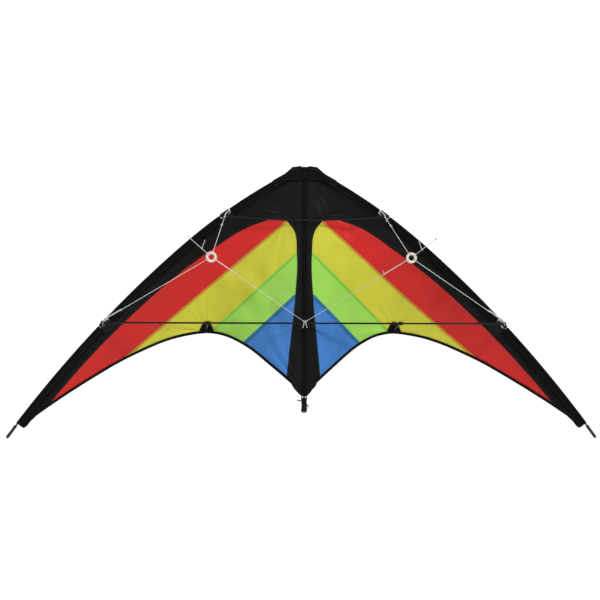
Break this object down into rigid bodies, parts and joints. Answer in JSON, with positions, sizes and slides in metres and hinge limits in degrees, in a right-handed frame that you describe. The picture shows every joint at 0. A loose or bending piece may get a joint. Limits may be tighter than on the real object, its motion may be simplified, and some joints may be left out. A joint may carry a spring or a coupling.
{
  "type": "delta kite",
  "caption": "Dual-line delta kite with swept wings, black spars, colour-banded sail, two spreaders, standoffs and a three-leg bridle on each wing.",
  "frame": {"origin": "middle of the centre T's flat front face, where the spine and the lower spreader cross and the two inhaul lines are tied", "axes": "+X along the span to the kite's right wing as seen from the front, +Y from the bridle side to the back of the sail, +Z from the tail to the nose"},
  "size_m": [1.3044, 0.3566, 0.6003],
  "materials": {
    "black_ripstop": "matt woven polyester",
    "red_ripstop": "matt woven polyester",
    "yellow_ripstop": "matt woven polyester",
    "green_ripstop": "matt woven polyester",
    "blue_ripstop": "matt woven polyester",
    "black_webbing": "heavy woven webbing",
    "black_tape": "folded hem tape",
    "glassfibre_rod": "smooth pultruded rod",
    "moulded_fitting": "soft moulded vinyl",
    "tow_ring": "moulded ring",
    "bridle_line": "braided polyester line",
    "shock_cord": "braided elastic cord"
  },
  "bodies": {
    "centre": {"spine_rod": "glassfibre_rod", "spine_tunnel_upper": "black_webbing", "spine_tunnel_lower": "black_webbing", "nose_pocket": "black_webbing", "centre_t": "moulded_fitting", "tail_nock": "moulded_fitting", "tail_shock_cord": "shock_cord"},
    "left_wing": {"left_leading_edge_rod": "glassfibre_rod", "left_sleeve_upper": "black_webbing", "left_sleeve_middle": "black_webbing", "left_sleeve_lower": "black_webbing", "left_tip_cap": "moulded_fitting", "left_tension_line": "bridle_line", "left_upper_connector": "moulded_fitting", "left_lower_connector": "moulded_fitting", "left_lower_spreader": "glassfibre_rod", "left_leading_panel": "black_ripstop", "left_red_panel": "red_ripstop", "left_yellow_panel": "yellow_ripstop", "left_green_panel": "green_ripstop", "left_blue_panel": "blue_ripstop", "left_centre_panel": "black_ripstop", "left_hem_tape": "black_tape", "left_nose_patch": "black_webbing", "left_standoff_patch": "black_webbing", "left_standoff_socket": "moulded_fitting", "left_inhaul": "bridle_line"},
    "left_standoff": {"left_standoff_rod": "glassfibre_rod", "left_standoff_clip": "moulded_fitting"},
    "left_bridle": {"left_bridle_ring": "tow_ring", "left_upper_bridle_leg": "bridle_line", "left_lower_bridle_leg": "bridle_line", "left_tow_leader": "bridle_line"},
    "right_wing": {"right_leading_edge_rod": "glassfibre_rod", "right_sleeve_upper": "black_webbing", "right_sleeve_middle": "black_webbing", "right_sleeve_lower": "black_webbing", "right_tip_cap": "moulded_fitting", "right_tension_line": "bridle_line", "right_upper_connector": "moulded_fitting", "right_lower_connector": "moulded_fitting", "right_lower_spreader": "glassfibre_rod", "right_leading_panel": "black_ripstop", "right_red_panel": "red_ripstop", "right_yellow_panel": "yellow_ripstop", "right_green_panel": "green_ripstop", "right_blue_panel": "blue_ripstop", "right_centre_panel": "black_ripstop", "right_hem_tape": "black_tape", "right_nose_patch": "black_webbing", "right_standoff_patch": "black_webbing", "right_standoff_socket": "moulded_fitting", "right_inhaul": "bridle_line", "upper_spreader": "glassfibre_rod"},
    "right_standoff": {"right_standoff_rod": "glassfibre_rod", "right_standoff_clip": "moulded_fitting"},
    "right_bridle": {"right_bridle_ring": "tow_ring", "right_upper_bridle_leg": "bridle_line", "right_lower_bridle_leg": "bridle_line", "right_tow_leader": "bridle_line"}
  },
  "joints": [
    {"name": "left_wing_fold", "type": "hinge", "parent": "centre", "child": "left_wing", "pos_m": [0, 0.014, 0], "axis": [0, 0, -1], "range_deg": [0, 55], "deforming": ["left_inhaul"]},
    {"name": "left_bridle_swing", "type": "hinge", "parent": "left_wing", "child": "left_bridle", "pos_m": [-0.1765, -0.0015, 0.233], "axis": [0.7564, 0, 0.6541], "range_deg": [0, 70], "deforming": ["left_inhaul"]},
    {"name": "left_standoff_swing", "type": "hinge", "parent": "left_wing", "child": "left_standoff", "pos_m": [-0.212, 0.005, 0], "axis": [-1, 0, 0], "range_deg": [0, 100]},
    {"name": "right_wing_fold", "type": "hinge", "parent": "centre", "child": "right_wing", "pos_m": [0, 0.014, 0], "axis": [0, 0, 1], "range_deg": [0, 55], "deforming": ["right_inhaul"]},
    {"name": "right_bridle_swing", "type": "hinge", "parent": "right_wing", "child": "right_bridle", "pos_m": [0.1765, -0.0015, 0.233], "axis": [0.7564, 0, -0.6541], "range_deg": [0, 70], "deforming": ["right_inhaul"]},
    {"name": "right_standoff_swing", "type": "hinge", "parent": "right_wing", "child": "right_standoff", "pos_m": [0.212, 0.005, 0], "axis": [-1, 0, 0], "range_deg": [0, 100]}
  ]
}
